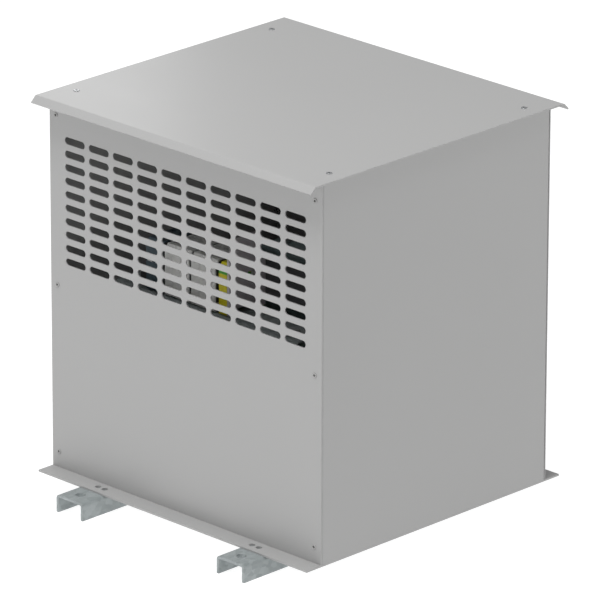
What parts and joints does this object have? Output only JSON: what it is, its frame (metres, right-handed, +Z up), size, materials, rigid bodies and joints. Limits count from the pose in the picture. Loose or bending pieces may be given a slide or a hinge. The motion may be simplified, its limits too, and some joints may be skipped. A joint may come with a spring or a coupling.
{
  "type": "enclosed dry-type transformer",
  "caption": "Floor-standing dry-type transformer in a ventilated sheet-steel housing with a drip-edged roof, on two channel rails.",
  "frame": {"origin": "on the floor under the middle of the housing", "axes": "+Z up, the vented front panel faces -Y, the rails run along Y"},
  "size_m": [0.41, 0.444, 0.4408],
  "materials": {
    "housing_paint": "light grey powder coat, satin",
    "galvanised_steel": "galvanised, light spangle",
    "zinc_fasteners": "zinc plated",
    "painted_fasteners": "light grey powder coat, satin",
    "clamp_steel": "blue-grey primer",
    "core_steel": "varnished laminations",
    "copper": "enamelled copper",
    "insulation_wrap": "varnished insulation film",
    "insulation_board": "glass-fibre board",
    "terminal_grey": "light grey polyamide",
    "terminal_blue": "blue-grey polyamide",
    "earth_yellow_green": "yellow with green stripe",
    "dark_plastic": "dark grey polyamide",
    "mauve_plastic": "mauve-grey polyamide",
    "black_rubber": "matt",
    "lead_black": "black insulation",
    "plate_aluminium": "blank anodised plate",
    "tinned_copper": "tinned"
  },
  "bodies": {
    "root": {"base_plate": "housing_paint", "side_panel_left": "housing_paint", "side_panel_right": "housing_paint", "front_panel": "housing_paint", "rear_panel": "housing_paint", "roof_plate": "housing_paint", "rail_left": "galvanised_steel", "rail_right": "galvanised_steel", "terminal_bracket": "galvanised_steel", "cable_support_bar": "galvanised_steel", "bracket_arms": "galvanised_steel", "terminal_rail": "galvanised_steel", "roof_screws": "zinc_fasteners", "roof_rivet_nuts": "zinc_fasteners", "panel_rivet_nuts": "zinc_fasteners", "base_bolts": "zinc_fasteners", "base_nuts": "zinc_fasteners", "foot_bolts": "zinc_fasteners", "foot_nuts": "zinc_fasteners", "clamp_bolts": "zinc_fasteners", "clamp_nuts": "zinc_fasteners", "bracket_bolts": "zinc_fasteners", "bracket_nuts": "zinc_fasteners", "terminal_screws": "zinc_fasteners", "panel_screws": "painted_fasteners", "lower_clamp_front": "clamp_steel", "lower_clamp_rear": "clamp_steel", "upper_clamp_front": "clamp_steel", "upper_clamp_rear": "clamp_steel", "core_lower_yoke": "core_steel", "core_upper_yoke": "core_steel", "core_limb_left": "core_steel", "core_limb_middle": "core_steel", "core_limb_right": "core_steel", "inner_winding_left": "copper", "inner_winding_middle": "copper", "inner_winding_right": "copper", "outer_winding_left": "copper", "outer_winding_middle": "copper", "outer_winding_right": "copper", "outer_wraps": "insulation_wrap", "coil_formers": "insulation_board", "duct_spacers": "insulation_board", "clamp_sleeves": "insulation_board", "primary_terminals": "terminal_grey", "secondary_terminals": "terminal_grey", "neutral_terminals": "terminal_blue", "earth_terminal": "earth_yellow_green", "earth_conductor": "earth_yellow_green", "gland_bodies": "dark_plastic", "gland_locknuts": "dark_plastic", "gland_caps": "dark_plastic", "end_stops": "mauve_plastic", "foot_pads": "black_rubber", "gland_seals": "black_rubber", "primary_leads": "lead_black", "secondary_leads": "lead_black", "rating_plate": "plate_aluminium", "earth_lug": "tinned_copper"}
  },
  "joints": []
}
